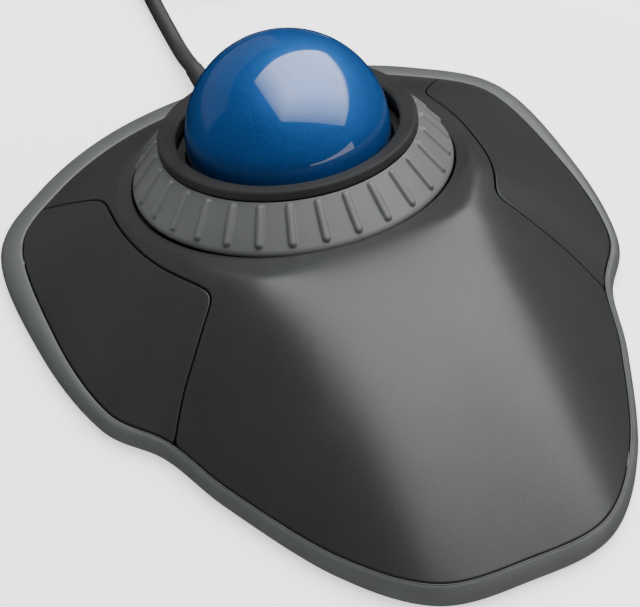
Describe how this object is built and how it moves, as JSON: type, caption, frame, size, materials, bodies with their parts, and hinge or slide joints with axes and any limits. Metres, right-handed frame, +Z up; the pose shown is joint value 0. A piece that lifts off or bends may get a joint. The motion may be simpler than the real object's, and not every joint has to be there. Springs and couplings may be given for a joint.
{
  "type": "trackball mouse",
  "caption": "Wired trackball mouse: a low wide shell with a large ball in a tilted scroll ring, a press button on each side, a palm rest and a coiled cord with a plug.",
  "frame": {"origin": "on the desk, under the middle of the housing's footprint", "axes": "+X to the user's right, +Y away from the user towards the cord, +Z up"},
  "size_m": [0.1205, 0.2308, 0.0455],
  "materials": {
    "base_plastic": "matte",
    "band_plastic": "satin",
    "cover_plastic": "satin",
    "lever_plastic": "matte",
    "ring_plastic": "matte",
    "gloss_black": "gloss",
    "black_plastic": "matte",
    "ball_blue": "pearl gloss",
    "bearing_white": "polished",
    "clear_lens": "clear",
    "lamp_red": "gloss",
    "circuit_green": "satin",
    "contact_brass": "bright",
    "capacitor_can": "satin",
    "ivory_plastic": "satin",
    "plunger_red": "satin",
    "steel": "bright",
    "foot_rubber": "matte",
    "label_film": "satin",
    "wire_sleeve": "satin",
    "cord_rubber": "satin"
  },
  "bodies": {
    "housing": {"base_shell": "base_plastic", "side_band": "band_plastic", "top_cover": "cover_plastic", "left_hinge_pin": "steel", "right_hinge_pin": "steel", "ball_collar": "gloss_black", "ball_cup": "black_plastic", "support_bearings": "bearing_white", "sensor_lens": "clear_lens", "ball_sensor": "black_plastic", "sensor_lamp": "lamp_red", "sensor_board": "circuit_green", "sensor_header": "contact_brass", "main_board": "circuit_green", "controller_chip": "black_plastic", "crystal": "steel", "capacitor": "capacitor_can", "cable_connector": "ivory_plastic", "encoder_board": "circuit_green", "photo_interrupter": "black_plastic", "left_switch": "black_plastic", "right_switch": "black_plastic", "board_screws": "steel", "case_screws": "steel", "cup_screws": "steel", "rubber_feet": "foot_rubber", "underside_label": "label_film", "inner_wires": "wire_sleeve", "strain_relief": "cord_rubber", "cord_lead": "cord_rubber", "cord_coil": "cord_rubber", "cord_tail": "cord_rubber", "cable_tie": "black_plastic", "plug_body": "cord_rubber", "plug_shell": "steel", "plug_tongue": "bearing_white"},
    "ring": {"scroll_ring": "ring_plastic", "ring_encoder": "black_plastic"},
    "ball": {"ball": "ball_blue"},
    "left_button": {"left_button": "cover_plastic", "left_button_arm": "lever_plastic"},
    "right_button": {"right_button": "cover_plastic", "right_button_arm": "lever_plastic"},
    "left_plunger": {"left_plunger": "plunger_red"},
    "right_plunger": {"right_plunger": "plunger_red"}
  },
  "joints": [
    {"name": "ring_spin", "type": "hinge", "parent": "housing", "child": "ring", "pos_m": [0, 0.0298, 0.0255], "axis": [0, 0.247, 0.969], "continuous": true},
    {"name": "ball_roll", "type": "hinge", "parent": "housing", "child": "ball", "pos_m": [0, 0.0298, 0.0255], "axis": [1, 0, 0], "continuous": true},
    {"name": "left_press", "type": "hinge", "parent": "housing", "child": "left_button", "pos_m": [0, -0.008, 0.005], "axis": [-1, 0, 0], "range_deg": [0, 0.9], "stiffness_Nm_per_rad": 0.6, "springref_deg": -1.15},
    {"name": "right_press", "type": "hinge", "parent": "housing", "child": "right_button", "pos_m": [0, -0.008, 0.005], "axis": [-1, 0, 0], "range_deg": [0, 0.9], "stiffness_Nm_per_rad": 0.6, "springref_deg": -1.15},
    {"name": "left_click", "type": "slide", "parent": "housing", "child": "left_plunger", "axis": [0, 0, -1], "range_m": [0, 0.0003]},
    {"name": "right_click", "type": "slide", "parent": "housing", "child": "right_plunger", "axis": [0, 0, -1], "range_m": [0, 0.0003]}
  ],
  "couplings": [
    {"joint": "left_click", "follows": "left_press", "m_per_rad": 0.014},
    {"joint": "right_click", "follows": "right_press", "m_per_rad": 0.014}
  ]
}
